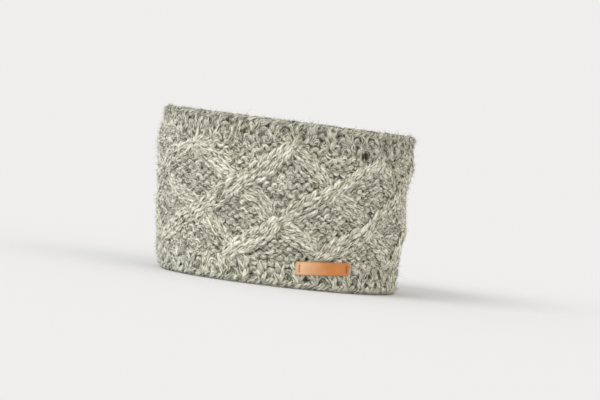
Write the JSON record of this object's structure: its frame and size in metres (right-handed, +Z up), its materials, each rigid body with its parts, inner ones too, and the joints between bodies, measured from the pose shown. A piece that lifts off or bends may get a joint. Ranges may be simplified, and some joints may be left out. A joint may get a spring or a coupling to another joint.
{
  "type": "ear warmer headband",
  "caption": "Wide cable-knit ear warmer headband: an oval knitted loop with a lattice of cables, ribbed borders and a small bare leather label.",
  "frame": {"origin": "on the surface that the lower rim stands on, under the middle of the loop's box", "axes": "+Z up along the head's axis, +Y from the forehead to the back of the head, +X to the wearer's left, where the label is"},
  "size_m": [0.1756, 0.2128, 0.123],
  "materials": {
    "wool": "chunky heathered sage-grey wool, soft and hairy",
    "leather": "smooth tan leather with cut edges"
  },
  "bodies": {
    "root": {"cable_band": "wool", "lower_ribbing": "wool", "upper_ribbing": "wool", "leather_label": "leather"}
  },
  "joints": []
}
